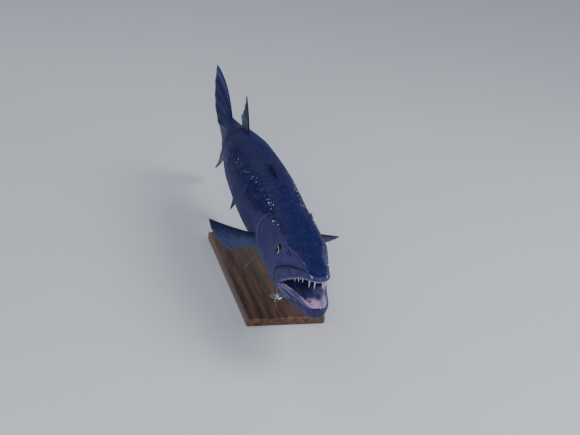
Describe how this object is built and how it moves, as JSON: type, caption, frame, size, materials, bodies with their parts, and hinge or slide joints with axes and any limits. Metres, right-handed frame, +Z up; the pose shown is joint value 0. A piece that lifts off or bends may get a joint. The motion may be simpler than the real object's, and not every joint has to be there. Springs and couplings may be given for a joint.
{
  "type": "barracuda model on a display stand",
  "caption": "Life-size great barracuda with its mouth open, long fangs, spread side fins and a forked tail, held level on two rods over a flat wooden base",
  "frame": {"origin": "centre of the underside of the model's bounding box, on the floor under the fish", "axes": "+X towards the snout along the fish's length, +Y to the fish's left, +Z up"},
  "size_m": [1.1281, 0.3022, 0.35],
  "materials": {
    "body": "painted scales, dark slate blue over a silver-blue flank, satin gloss",
    "face": "painted skin, slate violet, satin",
    "jaw": "painted lips and pale teeth, satin",
    "tongue": "painted, moist pink",
    "eye": "clear gloss over silver and black",
    "fin": "thin dark web between rays, satin",
    "stand_wood": "dark oiled wood, satin",
    "stand_steel": "brushed"
  },
  "bodies": {
    "root": {"head": "face", "upper_jaw": "jaw", "lower_jaw": "jaw", "throat": "face", "tongue": "tongue", "eye_left": "eye", "eye_right": "eye", "gill_cover_left": "face", "gill_cover_right": "face", "torso_front": "body", "torso_rear": "body", "tail_stem": "body", "tail_fin_upper": "fin", "tail_fin_lower": "fin", "first_dorsal_fin": "fin", "second_dorsal_fin": "fin", "anal_fin": "fin", "pectoral_fin_left": "fin", "pectoral_fin_right": "fin", "pelvic_fin_left": "fin", "pelvic_fin_right": "fin", "stand_base": "stand_wood", "stand_rod_front": "stand_steel", "stand_rod_rear": "stand_steel"}
  },
  "joints": []
}
